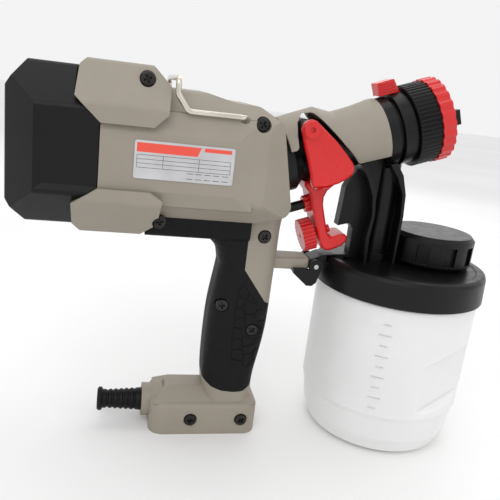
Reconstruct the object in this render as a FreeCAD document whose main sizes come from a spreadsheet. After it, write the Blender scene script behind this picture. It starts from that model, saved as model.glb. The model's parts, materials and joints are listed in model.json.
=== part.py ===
import FreeCAD, Part
import math
import os
import re
import Sketcher
from FreeCAD import Placement, Rotation, Vector

# An electric HVLP paint sprayer: a motor and turbine unit with a grip and a foot, and a spray head that
# carries the paint cup.  Millimetres; origin at the centre of the cup's flat base, +Z up, +X where it sprays.

doc = FreeCAD.newDocument("SprayGun")
sheet = doc.addObject("Spreadsheet::Sheet", "Dims")

DIMS = [
    ("axis_z", 178, "height of the motor's axis"),
    ("body_rear", -197.5, "rear end of the main housing"),
    ("body_shoulder", -120, "where the housing starts to narrow"),
    ("body_front", -86, "front end of the housing"),
    ("body_wide", 37, "half the housing's width beside its side panels"),
    ("panel_wide", 40, "half the housing's width over its side panels"),
    ("body_high", 35.5, "half the housing's height"),
    ("flat_high", 22, "half the height of the flat side"),
    ("flat_wide", 22, "half the width of the flat top"),
    ("shell", 2.8, "wall of the housing"),
    ("pod_rear", -210.5, "rear end of the raised pods"),
    ("pod_front", -173, "front end of the pods' flat tops"),
    ("pod_top", 225.2, "top of the upper pod"),
    ("pod_bottom", 133.2, "bottom of the lower pod"),
    ("pod_wide", 43, "half the pods' width"),
    ("cap_rear", -245, "rear face of the filter cap"),
    ("cap_wide", 42, "half the filter cap's width"),
    ("cap_top", 221.4, "top of the filter cap"),
    ("cap_bottom", 137.4, "bottom of the filter cap"),
    ("seam_gap", 0.4, "gap between the filter cap and the housing"),
    ("head_x", -15.9, "a point on the head's axis, at the rear face of the collar nut"),
    ("head_z", 206.8, "its height"),
    ("head_tilt", 19.5, "upward tilt of the head, degrees"),
    ("barrel_r", 20.5, "air tube, rear part"),
    ("barrel_front_r", 16, "air tube under the head cover"),
    ("socket_r", 20.9, "bore in the housing that the air tube slides in"),
    ("pivot_s", -65, "trigger pivot along the head's axis"),
    ("pivot_n", 16, "trigger pivot above the head's axis"),
    ("pivot_r", 2.5, "trigger pivot screw"),
    ("cheek_in", 22, "inner face of the trigger's cheeks"),
    ("cheek_out", 25.5, "outer face of the trigger's cheeks"),
    ("blade_half", 9, "half the width of the trigger's blade"),
    ("nut_r", 25.2, "collar nut over its ribs"),
    ("nut_long", 13.7, "length of the collar nut"),
    ("ring_r", 26, "pattern ring"),
    ("cup_r", 53.2, "outside of the cup"),
    ("cup_wall", 1.8, "wall of the cup"),
    ("cup_base_r", 41, "flat base of the cup"),
    ("cup_neck_r", 50.6, "threaded neck of the cup"),
    ("cup_top", 117.2, "rim of the cup"),
    ("lid_r", 55, "lid"),
    ("lid_low", 103.7, "lower edge of the lid"),
    ("lid_top", 121.3, "top face of the lid"),
    ("filler_x", 18.8, "centre of the filler port"),
    ("filler_r", 28, "filler cap"),
    ("filler_top", 141.8, "top of the filler cap"),
    ("riser_x", -20, "pickup riser in the neck"),
    ("riser_r", 7.6, "pickup riser"),
    ("grip_half", 17, "half the width of the grip"),
    ("grip_skin", 3, "thickness of the rubber grip"),
    ("foot_half", 19.5, "half the width of the foot"),
    ("foot_top", 21.5, "top of the foot"),
    ("boot_z", 14.3, "axis of the cord boot"),
    ("boot_bore", 3.6, "hole for the mains lead"),
    ("screw_r", 2, "shell screws"),
    ("screw_head_r", 4.2, "recess for a shell screw's head"),
    ("wire_r", 1.5, "hanging hook wire"),
    ("shaft_r", 4, "armature shaft"),
    ("fan_r", 28.5, "turbine wheel"),
    ("far", 400, "longer than the object, for cutting tools"),
]
NAMES = {alias for alias, value, note in DIMS}
for row, (alias, value, note) in enumerate(DIMS, 1):
    sheet.set(f"A{row}", alias)
    sheet.set(f"B{row}", str(value))
    sheet.set(f"C{row}", note)
    sheet.setAlias(f"B{row}", alias)
doc.recompute()


def ex(text):
    """An expression in the sheet's terms, with each alias given its sheet name."""
    return re.sub(r"[a-z_]+", lambda word: ("Dims." if word[0] in NAMES else "") + word[0], str(text))


def dim(alias):
    return float(sheet.get(alias))


TILT = math.radians(dim("head_tilt"))
UP = Rotation()
ALONG_X = Rotation(Vector(0, 1, 0), 90)
ALONG_Y = Rotation(Vector(1, 0, 0), -90)
HEAD = Rotation(Vector(0, 1, 0), -dim("head_tilt"))
HEAD_X = HEAD * ALONG_X
HEAD_Y = HEAD * ALONG_Y


def head(s, n, y=0):
    """World coordinates, as expressions, of a point s along the head's axis and n above it."""
    return (
        f"head_x + ({s}) * cos(head_tilt * 1deg) - ({n}) * sin(head_tilt * 1deg)",
        y,
        f"head_z + ({s}) * sin(head_tilt * 1deg) + ({n}) * cos(head_tilt * 1deg)",
    )


def place(obj, at, turn=UP):
    obj.Placement = Placement(Vector(), turn)
    for axis, value in zip("xyz", at):
        obj.setExpression(f"Placement.Base.{axis}", ex(value))
    return obj


def cylinder(name, radius, height, at, turn=UP):
    obj = doc.addObject("Part::Cylinder", name)
    obj.setExpression("Radius", ex(radius))
    obj.setExpression("Height", ex(height))
    return place(obj, at, turn)


def cone(name, radius1, radius2, height, at, turn=UP):
    obj = doc.addObject("Part::Cone", name)
    obj.setExpression("Radius1", ex(radius1))
    obj.setExpression("Radius2", ex(radius2))
    obj.setExpression("Height", ex(height))
    return place(obj, at, turn)


def box(name, size, at, turn=UP):
    obj = doc.addObject("Part::Box", name)
    for prop, value in zip(("Length", "Width", "Height"), size):
        obj.setExpression(prop, ex(value))
    return place(obj, at, turn)


def fuse(name, *parts):
    obj = doc.addObject("Part::MultiFuse", name)
    obj.Shapes = list(parts)
    obj.Refine = True
    return obj


def common(name, *parts):
    obj = doc.addObject("Part::MultiCommon", name)
    obj.Shapes = list(parts)
    return obj


def cut(name, base, *tools):
    obj = doc.addObject("Part::Cut", name)
    obj.Base = base
    obj.Tool = tools[0] if len(tools) == 1 else fuse(name + "_tools", *tools)
    return obj


def rounded(name, base, radius, chosen):
    """Fillets the edges of base that chosen(edge) picks."""
    doc.recompute()
    obj = doc.addObject("Part::Fillet", name)
    obj.Base = base
    obj.Edges = [(i, radius, radius) for i, edge in enumerate(base.Shape.Edges, 1) if chosen(edge)]
    return obj


def runs(axis):
    """Picks straight edges along one axis."""
    def chosen(edge):
        if not isinstance(edge.Curve, Part.Line):
            return False
        return abs(getattr(edge.tangentAt(edge.FirstParameter), axis)) > 0.999
    return chosen


def origin_part(body, role):
    return next(item for item in body.Origin.OriginFeatures if item.Role == role)


def sketch_on(body, plane, points):
    """A closed outline of straight lines; each corner is bound to the sheet."""
    sketch = body.newObject("Sketcher::SketchObject", body.Name + "_sketch")
    sketch.AttachmentSupport = (origin_part(body, plane), [""])
    sketch.MapMode = "FlatFace"
    values = [[FreeCAD.Units.Quantity(str(sheet_value(part))).Value for part in point] for point in points]
    corners = [Vector(across, up, 0) for across, up in values]
    count = len(corners)
    for i in range(count):
        sketch.addGeometry(Part.LineSegment(corners[i], corners[(i + 1) % count]))
    for i in range(count):
        sketch.addConstraint(Sketcher.Constraint("Coincident", i, 2, (i + 1) % count, 1))
    for i, point in enumerate(points):
        for kind, part, value in zip(("DistanceX", "DistanceY"), point, corners[i]):
            index = sketch.addConstraint(Sketcher.Constraint(kind, -1, 1, i, 1, value))
            if isinstance(part, str):
                sketch.setExpression(f"Constraints[{index}]", ex(part))
    return sketch


def sheet_value(part):
    """The number that an expression in the sheet's words gives."""
    if not isinstance(part, str):
        return float(part)
    return float(sheet.evalExpression(re.sub(r"[a-z_]+", lambda word: word[0], part)))


def prism(name, plane, points, width, at=(0, 0, 0), turn=UP):
    """An outline in a plane of the body's own origin, padded the same way to both sides."""
    body = doc.addObject("PartDesign::Body", name)
    pad = body.newObject("PartDesign::Pad", name + "_pad")
    pad.Profile = sketch_on(body, plane, points)
    pad.SideType = "Symmetric"
    pad.setExpression("Length", ex(width))
    body.Tip = pad
    return place(body, at, turn)


def turned(name, points, axis="X_Axis", at=(0, 0, 0), turn=UP):
    """An outline in the body's XZ plane, revolved about one of its own axes."""
    body = doc.addObject("PartDesign::Body", name)
    revolution = body.newObject("PartDesign::Revolution", name + "_turn")
    revolution.Profile = sketch_on(body, "XZ_Plane", points)
    revolution.ReferenceAxis = (origin_part(body, axis), [""])
    revolution.Angle = 360
    body.Tip = revolution
    return place(body, at, turn)


def head_prism(name, points, width):
    return prism(name, "XZ_Plane", points, width, at=("head_x", 0, "head_z"), turn=HEAD)


def head_turned(name, points):
    return turned(name, points, at=("head_x", 0, "head_z"), turn=HEAD)


def section(name, wide, high, flat_high, flat_wide, rear, front, radius):
    """An eight-sided tube outline across X, centred on the motor's axis, with rounded long edges."""
    corners = []
    for side, level in ((1, -1), (1, 1), (-1, 1), (-1, -1)):
        flank = (f"{side} * ({wide})", f"axis_z + {level} * ({flat_high})")
        top = (f"{side} * ({flat_wide})", f"axis_z + {level} * ({high})")
        corners += [top, flank] if side * level < 0 else [flank, top]
    body = prism(name, "YZ_Plane", corners, f"({front}) - ({rear})", at=(f"(({front}) + ({rear})) / 2", 0, 0))
    return rounded(name + "_round", body, radius, runs("x")) if radius else body


NODES = {}


def node(name, obj):
    """Makes obj a finished sub-part: its label names its file."""
    obj.Label = name
    NODES[name] = obj
    return obj


# ---------------------------------------------------------------- main housing: barrel, pods, handle, foot
SCREWS = [(-175.5, 217, 31), (-113, 200.5, 33), (-163.8, 141.5, 27), (-99.9, 134, 16.5),
          (-121, 88.5, 15.5), (-100.4, 73, 16), (-134, 10.6, 19.5), (-101, 10.6, 19.5)]

body_section = section("body_section", "body_wide", "body_high", "flat_high", "flat_wide", "pod_rear",
                       "body_front", 7)
body_side = prism("body_side", "XZ_Plane", [
    ("body_rear", "axis_z - body_high - 2"), (-114, "axis_z - body_high - 2"), (-88, 151), (-100.5, 201.5),
    (-114, 209.5), (-128, 210), (-152, "axis_z + body_high + 2"), ("body_rear", "axis_z + body_high + 2")],
    "2 * pod_wide")
body_plan = prism("body_plan", "XY_Plane", [
    ("body_rear", "-pod_wide"), ("body_shoulder", "-pod_wide"), ("body_front", -25), ("body_front", 25),
    ("body_shoulder", "pod_wide"), ("body_rear", "pod_wide")], "2 * far")
body_side_soft = rounded("body_side_soft", body_side, 6,
                         lambda edge: runs("y")(edge) and edge.CenterOfMass.x > -160)
body_plan_soft = rounded("body_plan_soft", body_plan, 40, lambda edge: runs("z")(edge) and
                         abs(edge.CenterOfMass.x - dim("body_shoulder")) < 1)
barrel_solid = common("body_solid", body_section, body_side_soft, body_plan_soft)


def wedge(name, first, last, turn=UP):
    """A four-sided frustum along its own Y between two rectangles, each given as (y, x range, z range)."""
    obj = doc.addObject("Part::Wedge", name)
    obj.setExpression("Ymin", ex(first[0]))
    obj.setExpression("Ymax", ex(last[0]))
    for label, pair in zip(("X", "Z", "X2", "Z2"), first[1:] + last[1:]):
        obj.setExpression(label + "min", ex(pair[0]))
        obj.setExpression(label + "max", ex(pair[1]))
    obj.Placement = Placement(Vector(), turn)
    return obj


def side_wedge(name, side, outer, inner):
    """A wedge on one side of the housing, from its outer rectangle to its inner one."""
    outer, inner = [(f"{side} * ({face[0]})",) + face[1:] for face in (outer, inner)]
    return wedge(name, outer, inner) if side < 0 else wedge(name, inner, outer)


SIDES = ((-1, "right"), (1, "left"))
panels = [side_wedge(f"panel_{label}", side, ("panel_wide", ("body_rear", -126), (160.5, 190.5)),
                     ("body_wide - 1", ("body_rear", -114), (152, 202.5))) for side, label in SIDES]

pod_section = section("pod_section", "pod_wide", 46, 25, 25, "pod_rear", -160, 5)
pod_over = prism("pod_over", "XZ_Plane", [
    ("body_rear", 193.5), (-170.8, 193.5), (-163.8, 200.5), (-163, 214.4), ("pod_front", 224.6),
    ("pod_rear + 5.5", "pod_top"), ("pod_rear + 1", 220.5), ("pod_rear", 205.5)], "2 * pod_wide + 4")
pod_under = prism("pod_under", "XZ_Plane", [
    ("body_rear", 160.2), ("pod_rear", 151.3), ("pod_rear", 138), ("pod_rear + 4", "pod_bottom"),
    (-174, "pod_bottom"), (-165.5, 140.5), (-164, 156), (-171, 160.2)], "2 * pod_wide + 4")
pods = common("pods", pod_section, fuse("pod_sides", pod_over, pod_under))

corner_r = 11


def grip_ring(name, rear, front, half, level):
    """A closed outline across the handle at one height, with rounded corners."""
    doc.recompute()
    r = min(corner_r, half - 0.5, (front - rear) / 2 - 0.5)
    centres = [(front - r, half - r, 0), (rear + r, half - r, 90), (rear + r, -half + r, 180),
               (front - r, -half + r, 270)]
    edges = []
    arcs = [Part.Arc(Part.Circle(Vector(x, y, level), Vector(0, 0, 1), r), math.radians(a),
                     math.radians(a + 90))
            for x, y, a in centres]
    for arc, following in zip(arcs, arcs[1:] + arcs[:1]):
        edges += [arc.toShape(), Part.LineSegment(arc.EndPoint, following.StartPoint).toShape()]
    ring = doc.addObject("Part::Feature", name)
    ring.Shape = Part.Wire(edges)
    return ring


# level, rear and front of the handle
HANDLE = [(150, -126, -86.5), (128, -124.2, -88.6), (112, -124.2, -88.9), (88, -127.2, -89.2),
          (70, -128.2, -90),
          (53, -128.3, -92.2), (36, -127.6, -94.4), (14, -127, -93.5)]
# level and rear of the hollow curve between the handle and the tail above it
TAIL_ROOT = [(136, -138.5), (131, -136), (128, -131.4), (124.5, -127.8), (119.5, -125.4), (112, -123.9)]


def loft(name, rings, ruled=False):
    obj = doc.addObject("Part::Loft", name)
    obj.Sections = rings
    obj.Solid = True
    obj.Ruled = ruled
    return obj


def handle(name, inset):
    return loft(name, [grip_ring(f"{name}_{level}", rear + inset, front - inset, dim("grip_half") - inset,
                                 level)
                       for level, rear, front in HANDLE])


handle_full = handle("handle_full", 0)
handle_core = handle("handle_core", dim("grip_skin"))
handle_void = handle("handle_void", dim("grip_skin") + dim("shell"))
# the bare plastic front of the neck, above the slanted edge of the rubber
neck_bare = prism("neck_bare", "XZ_Plane",
                  [(-109.5, 152), (-109.5, 112.4), (-94, 91.5), (-80, 84), (-80, 152)], 60)
neck_front = common("neck_front", handle_full, neck_bare)

foot_block = rounded("foot_block",
                     box("foot_box", (70, "2 * foot_half", "foot_top"), (-160, "-foot_half", 0)), 9,
                     runs("z"))
foot_soft = rounded("foot_soft", foot_block, 3.5,
                    lambda edge: not runs("z")(edge) and edge.CenterOfMass.z > 10)
crown = wedge("crown", (20.5, (-158, -92), (-18, 18)), (28.5, (-149, -97), (-7, 7)),
              Rotation(Vector(1, 0, 0), 90))
crown_soft = rounded("crown_soft", crown, 3, lambda edge: edge.CenterOfMass.z > 21)
# plastic collar about the handle's root; the rubber starts at its curved upper edge
collar_side = prism("collar_side", "XZ_Plane", [
    (-140, 10), (-140, 40), (-130, 37.5), (-122.5, 32.4), (-115, 30), (-108, 29.2), (-101.5, 29.6), (-96, 32),
    (-85, 37), (-85, 10)], 60)
collar = common("collar", handle_full, collar_side)
boss = cylinder("cord_boss", 10.6, 14, (-165, 0, "boot_z"), ALONG_X)
boss_neck = cone("cord_boss_neck", 10.6, 13, 6, (-158, 0, "boot_z"), ALONG_X)
arm = rounded("guard_arm", box("guard_box", (29, 17, 7.9), (-96.2, -8.5, 111.5)), 2, runs("x"))
above_floor = box("above_floor", ("far", "far", "far"), ("-far", "-far / 2", 0))

shell_outer = common("shell_outer", above_floor, fuse(
    "shell_sum", barrel_solid, *panels, pods, handle_core, neck_front, foot_soft, crown_soft,
    collar, boss, boss_neck, arm))

void_section = section("void_section", "body_wide - shell", "body_high - shell", "flat_high - 1",
                       "flat_wide - 1",
                       "pod_rear - 2", -117, 0)
void_side = prism("void_side", "XZ_Plane", [
    ("pod_rear - 2", 130), (-117, 130), (-117, "209.5 - shell"), (-129, "210 - shell"), (-150, 212),
    ("pod_rear - 2", 212)], "2 * pod_wide")
shell_void = common("shell_void", void_section, void_side)
pod_voids = [box("pod_void_over", (30, 48, 20), (-207, -24, "pod_top - 23")),
             box("pod_void_under", (29, 48, 16), (-207, -24, "pod_bottom + 3"))]
seam_step = prism("seam_step", "XZ_Plane", [
    (-260, 120), ("pod_rear", 120), ("pod_rear", 151.3), ("body_rear", 160.2), ("body_rear", 193.5),
    ("pod_rear", 205.5), ("pod_rear", 240), (-260, 240)], "far")
socket = cylinder("socket", "socket_r", 40, head(-112, 0), HEAD_X)
throat = box("throat", (18, 20, 60), (-116, -10, 104))
foot_void = box("foot_void", (58, "2 * foot_half - 7", "foot_top - 7"), (-153, "3.5 - foot_half", 3.5))
cord_way = cylinder("cord_way", 7.7, 20, (-170, 0, "boot_z"), ALONG_X)
plunger_way = cylinder("plunger_way", 3.3, 40, head(-106, -31.9), HEAD_X)
hook_ways = [cylinder(f"hook_way_{side}", "wire_r + 0.06", 6, (-123.5, y, 203.3), ALONG_Y)
             for side, y in (("near", -36), ("far", 30))]
# wider mouths, because the wire already bends there
hook_ways += [cylinder(f"hook_mouth_{side}", "wire_r + 1.7", 9, (-123.5, y, 203.3), ALONG_Y)
              for side, y in (("near", -42.5), ("far", 33.5))]
bosses = [cylinder(f"boss_{i}", "screw_r + 2.6", 2 * y - 2, (x, 1 - y, z), ALONG_Y)
          for i, (x, z, y) in enumerate(SCREWS)]
stator_r = 29
stator_ribs = [cut(f"stator_rib_{i}", box(f"rib_plate_{i}", (2.2, 90, 90), (x, -45, 133)),
                   cylinder(f"rib_bore_{i}", stator_r, 6, (x - 2, 0, "axis_z"), ALONG_X))
               for i, x in enumerate((-172, -148))]
hollow = cut("shell_hollow", shell_outer, shell_void, *pod_voids, socket, throat, handle_void, foot_void,
             cord_way)
shell_bossed = common("shell_bossed", shell_outer, fuse("shell_and_bosses", hollow, *bosses, *stator_ribs))
screw_ways = []
for i, (x, z, y) in enumerate(SCREWS):
    screw_ways.append(cylinder(f"screw_way_{i}", "screw_r", 2 * y, (x, -y, z), ALONG_Y))
    screw_ways.append(cylinder(f"head_way_{i}", "screw_head_r", 30, (x, -y - 25, z), ALONG_Y))
shell = cut("shell_done", shell_bossed, *screw_ways, *hook_ways, plunger_way, seam_step)


def half_space(name, side):
    return box(name, ("far", "far / 2", "far"), ("-far + 60", 0 if side > 0 else "-far / 2", -20))


for side, label in SIDES:
    node(f"housing_{label}", common(f"housing_{label}", shell, half_space(f"half_{label}", side)))

# ------------------------------------------------------------------------------------- rubber grip
tail = rounded("tail", box("tail_box", (64, 42, 16), (-171, -21, 130.6)), 4.5, runs("x"))
tail_top = prism("tail_top", "XZ_Plane", [(-171, 128), (-171, 143), (-105, 143), (-109.5, 128)], 44)
tail_part = cut("tail_part", common("tail_cut", tail, tail_top), body_section, pods)
tail_root = loft("tail_root", [grip_ring(f"tail_root_{i}", rear, -100, dim("grip_half") - 0.4, level)
                               for i, (level, rear) in enumerate(TAIL_ROOT)], ruled=True)
grip_sum = fuse("grip_sum", handle_full, tail_root, tail_part)
grip_band = box("grip_band", (95, 60, "143 - foot_top"), (-172, -30, "foot_top"))
grip_skin = cut("grip_skin", common("grip_cut", grip_sum, grip_band), handle_core, neck_bare, collar_side,
                body_section, pods, *screw_ways)
for side, label in SIDES:
    node(f"grip_{label}", common(f"grip_{label}", grip_skin, half_space(f"grip_half_{label}", side)))

# ------------------------------------------------------------------------------------- filter cap
cap_section = section("cap_section", "cap_wide", "(cap_top - cap_bottom) / 2", "flat_high", "flat_wide",
                      "cap_rear", -190, 4)
cap_side = prism("cap_side", "XZ_Plane", [
    ("cap_rear", 149), (-234, "cap_bottom - 3"), (-205, "cap_bottom - 3"), (-190, "cap_bottom - 3"),
    (-190, "cap_top + 3"), (-232, "cap_top + 3"), ("cap_rear", 206)], "2 * cap_wide + 2")
cap_side_soft = rounded("cap_side_soft", cap_side, 3,
                        lambda edge: runs("y")(edge) and edge.CenterOfMass.x < -225)
cap_plan = prism("cap_plan", "XY_Plane", [
    ("cap_rear", -28), (-228, "-cap_wide - 1"), (-190, "-cap_wide - 1"), (-190, "cap_wide + 1"),
    (-228, "cap_wide + 1"), ("cap_rear", 28)], "2 * far")
cap_plan_soft = rounded("cap_plan_soft", cap_plan, 3,
                        lambda edge: runs("z")(edge) and edge.CenterOfMass.x < -200)
cap_void = section("cap_void", "cap_wide - 3", "(cap_top - cap_bottom) / 2 - 3", "flat_high - 1",
                   "flat_wide - 1",
                   "cap_rear + 4", -180, 0)
cap_solid = common("cap_solid", cap_section, cap_side_soft, cap_plan_soft)
cap_void_side = prism("cap_void_side", "XZ_Plane", [
    ("cap_rear + 3", 151), (-233, "cap_bottom + 2"), (-180, "cap_bottom + 2"), (-180, "cap_top - 2"),
    (-231, "cap_top - 2"), ("cap_rear + 3", 204)], "2 * cap_wide")
cap_void_plan = prism("cap_void_plan", "XY_Plane", [
    ("cap_rear + 3", -26), (-228, "3 - cap_wide"), (-180, "3 - cap_wide"), (-180, "cap_wide - 3"),
    (-228, "cap_wide - 3"), ("cap_rear + 3", 26)], "2 * far")
cap_hollow = common("cap_hollow", cap_void, cap_void_side, cap_void_plan)
pockets = [side_wedge(f"pocket_{label}", side, ("cap_wide + 1", (-229.8, -180), (156.5, 198.5)),
                      ("cap_wide - 2.2", (-225.5, -180), (160.5, 191.8))) for side, label in SIDES]
slots = []
for i in range(4):
    y = -21 + 12 * i
    slots.append(box(f"top_slot_{i}", (16, 6, 3.2), (-245, y, 207.5), Rotation(Vector(0, 1, 0), -48)))
    slots.append(box(f"low_slot_{i}", (16, 6, 3.2), (-243, y, 150.5), Rotation(Vector(0, 1, 0), 48)))
for i in range(5):
    slots.append(box(f"rear_slot_{i}", (8, 40, 3), (-249, -20, 160.5 + 8 * i)))
cap = cut("cap_done", cap_solid, cap_hollow, *pockets, *slots,
          cut("ahead", box("front_block", (120, 200, 200),
          ("pod_rear - seam_gap", -100, 80)), prism("cap_tongue", "XZ_Plane", [
              (-260, 151.3), ("pod_rear - seam_gap", 151.3), ("body_rear - seam_gap", 160.2),
              ("body_rear - seam_gap", 193.5), ("pod_rear - seam_gap", 205.5), (-260, 205.5)], 240)))
node("rear_cap", cap)
node("air_filter", common("air_filter", section("filter_section", "cap_wide - 6", 37, 17, 20, -237, -228, 0),
                          box("filter_slab", (6, 66, 66), (-234, -33, 146.4))))

# ------------------------------------------------------------------------------------- small outer parts
node("nameplate", rounded("nameplate_round",
                          box("nameplate", (52.4, 0.5, 19.8), (-180, "-panel_wide - 0.5", 167)), 1.2,
                          lambda edge: runs("y")(edge)))

# wire bail: two legs beside the housing and a bar across it
wire_y = 38
leg_z = 203.3
bar_x, bar_z = -160, 219.3


def wire_path():
    """The bail's centre line: pivot, leg, rise, bar and back, with arcs at its bends."""
    points = []
    for side in (-1, 1):
        half = [Vector(-123.5, side * 31.5, leg_z), Vector(-123.5, side * wire_y, leg_z),
                Vector(-154, side * wire_y, leg_z), Vector(bar_x, side * wire_y, bar_z - 8),
                Vector(bar_x, side * wire_y, bar_z)]
        points += half if side < 0 else half[::-1]
    radius = 4.0
    edges = []
    start = points[0]
    for before, corner, after in zip(points, points[1:], points[2:]):
        a = (before - corner).normalize()
        b = (after - corner).normalize()
        half_angle = a.getAngle(b) / 2
        back = min(radius / math.tan(half_angle),
                   0.45 * min((before - corner).Length, (after - corner).Length))
        r = back * math.tan(half_angle)
        first, last = corner + a * back, corner + b * back
        middle = corner + (a + b).normalize() * (r / math.sin(half_angle) - r)
        edges += [Part.LineSegment(start, first).toShape(), Part.Arc(first, middle, last).toShape()]
        start = last
    edges.append(Part.LineSegment(start, points[-1]).toShape())
    return Part.Wire(edges)


bail_path = doc.addObject("Part::Feature", "bail_path")
bail_path.Shape = wire_path()
wire_section = doc.addObject("Part::Circle", "wire_section")
wire_section.setExpression("Radius", ex("wire_r"))
wire_section.Placement = Placement(Vector(-123.5, -31.5, leg_z), Rotation(Vector(1, 0, 0), 90))
bail = doc.addObject("Part::Sweep", "bail")
bail.Sections = [wire_section]
doc.recompute()
bail.Spine = (bail_path, [f"Edge{i + 1}" for i in range(len(bail_path.Shape.Edges))])
bail.Solid = True
bail.Transition = "Right corner"
node("hanging_hook", bail)

# cord boot: a tapered rubber sleeve with shallow rings and a flared mouth
boot_outline = [(-152, "boot_bore"), (-193, "boot_bore"), (-193, 6.6), (-192, 7.5), (-190.4, 7.5),
                (-189.4, 6)]
rings = 6
for i in range(rings):
    x = -187.5 + 3.4 * i
    r = 6.0 + 0.2 * i
    boot_outline += [(x, r), (x + 0.5, r - 0.6), (x + 1.4, r - 0.6), (x + 1.9, r)]
boot_outline += [(-165.3, 7.3), (-152, 7.3)]
node("cord_boot", turned("cord_boot", boot_outline, at=(0, 0, "boot_z")))
node("cord_clamp", cut("cord_clamp", box("clamp_bar", (8, 24, 4.4), (-148, -12, "boot_z - 8.1")),
                       *[cylinder(f"clamp_way_{i}", "screw_r - 0.5", 10, (-144, y, 3)) for i,
                         y in enumerate((-8.5, 8.5))]))

screw_solids = []
for i, (x, z, y) in enumerate(SCREWS):
    shank = cylinder(f"screw_shank_{i}", "screw_r - 0.05", y + 5, (x, 1 - y, z), ALONG_Y)
    screw_head = cylinder(f"screw_cap_{i}", "screw_head_r - 0.4", 2.4, (x, -1.4 - y, z), ALONG_Y)
    drive = cylinder(f"screw_drive_{i}", 1.4, 1.6, (x, -1.5 - y, z), ALONG_Y)
    screw_solids.append(cut(f"screw_{i}", fuse(f"screw_sum_{i}", shank, screw_head), drive))
shell_screws = doc.addObject("Part::Compound", "shell_screws")
shell_screws.Links = screw_solids
node("shell_screws", shell_screws)

# ------------------------------------------------------------------------------------- motor and turbine

def ring(name, outer, inner, length, x):
    """A ring about the motor's axis."""
    disc = cylinder(name + "_disc", outer, length, (x, 0, "axis_z"), ALONG_X)
    return cut(name, disc, cylinder(name + "_hole", inner, f"({length}) + 2", (x - 1, 0, "axis_z"), ALONG_X))


def around(name, count, radius, make):
    """Places count copies of a tool about the motor's axis; make(i, y, z, angle) builds one."""
    tools = []
    for i in range(count):
        angle = 2 * math.pi * i / count
        tools.append(make(f"{name}_{i}", radius * math.cos(angle), dim("axis_z") + radius * math.sin(angle),
                          angle))
    return tools


for name, x, bracket_r in (("front_bracket", -125, 28.2), ("rear_bracket", -187, 32.4)):
    windows = around(name + "_window", 8, 20, lambda label, y, z, angle,
                     x=x: cylinder(label, 4, 8, (x - 2, y, z), ALONG_X))
    node(name, cut(name, ring(name + "_ring", bracket_r, 11, 4, x), *windows))
for name, x in (("front_bearing", -126), ("rear_bearing", -188)):
    node(name, ring(name, 11, "shaft_r + 0.05", 6, x))
node("stator", ring("stator", stator_r, 20.2, 38, -178))
node("armature_shaft", cylinder("armature_shaft", "shaft_r", 82, (-200, 0, "axis_z"), ALONG_X))
grooves = around("core_slot", 12, 19.5, lambda label, y, z, angle: box(
    label, (40, 2, 7), (-178, y + math.sin(angle), z - math.cos(angle)),
    Rotation(Vector(1, 0, 0), math.degrees(angle) + 90)))
node("armature_core", cut("armature_core", ring("core_ring", 19.5, "shaft_r", 34, -176), *grooves))
node("commutator", ring("commutator", 10.5, "shaft_r", 9, -139))
node("brush_holders", fuse("brush_holders",
                           *[cut(f"brush_{i}", box(f"brush_box_{i}", (13, 14, 8), (-138, y, "axis_z - 4")),
     box(f"brush_hole_{i}", (4, 16, 5), (-136.5, y - 1, "axis_z - 2.5"))) for i, y in enumerate((-25, 11))]))
brushes = doc.addObject("Part::Compound", "brushes")
brushes.Links = [box(f"carbon_{i}", (3.8, 11, 4.8), (-136.4, y, "axis_z - 2.4")) for i,
                 y in enumerate((-21.7, 10.7))]
node("carbon_brushes", brushes)
node("fan_shroud", fuse("fan_shroud", ring("shroud_rim", 32.4, 30, 11.2, -199.2),
                        ring("shroud_plate", 32.4, 24, 1.4, -189.4)))
blade_count = 12
wheel = [cylinder("wheel_plate", "fan_r", 1.4, (-192.2, 0, "axis_z"), ALONG_X),
         cylinder("wheel_hub", 8, 8, (-198.5, 0, "axis_z"), ALONG_X)]
wheel += around("wheel_blade", blade_count, 7, lambda label, y, z, angle: box(
    label, (6.4, 21, 1.2), (-198.3, y, z), Rotation(Vector(1, 0, 0), math.degrees(angle) + 14)))
node("turbine_wheel", cut("turbine_wheel", fuse("wheel_sum", *wheel),
                          cylinder("wheel_bore", "shaft_r", 20, (-200, 0, "axis_z"), ALONG_X)))
node("power_switch", box("power_switch", (8.2, 15, 20), (-115.5, -7.5, 127)))

# plunger that works the switch: a rod parallel to the head's axis, with a lobed thumb nut
rod_n = -31.9
node("switch_plunger", cylinder("switch_plunger", 3, 32.5, head(-100, rod_n), HEAD_X))


def lobed(name, radius, lobe_r, count, length, s, n, hole):
    """A knob along the head's axis with round lobes about its rim."""
    parts = [cylinder(name + "_core", radius, length, head(s, n), HEAD_X)]
    for i in range(count):
        angle = 2 * math.pi * i / count
        parts.append(cylinder(f"{name}_lobe_{i}", lobe_r, length,
                              head(s, f"{n} + ({radius}) * {math.sin(angle):.6f}",
                                   f"({radius}) * {math.cos(angle):.6f}"), HEAD_X))
    return cut(name, fuse(name + "_sum", *parts),
               cylinder(name + "_hole", hole, f"({length}) + 2", head(s - 1, n), HEAD_X))


node("plunger_nut", lobed("plunger_nut", 4.3, 1.1, 9, 4.5, -72.5, rod_n, 3))

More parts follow.
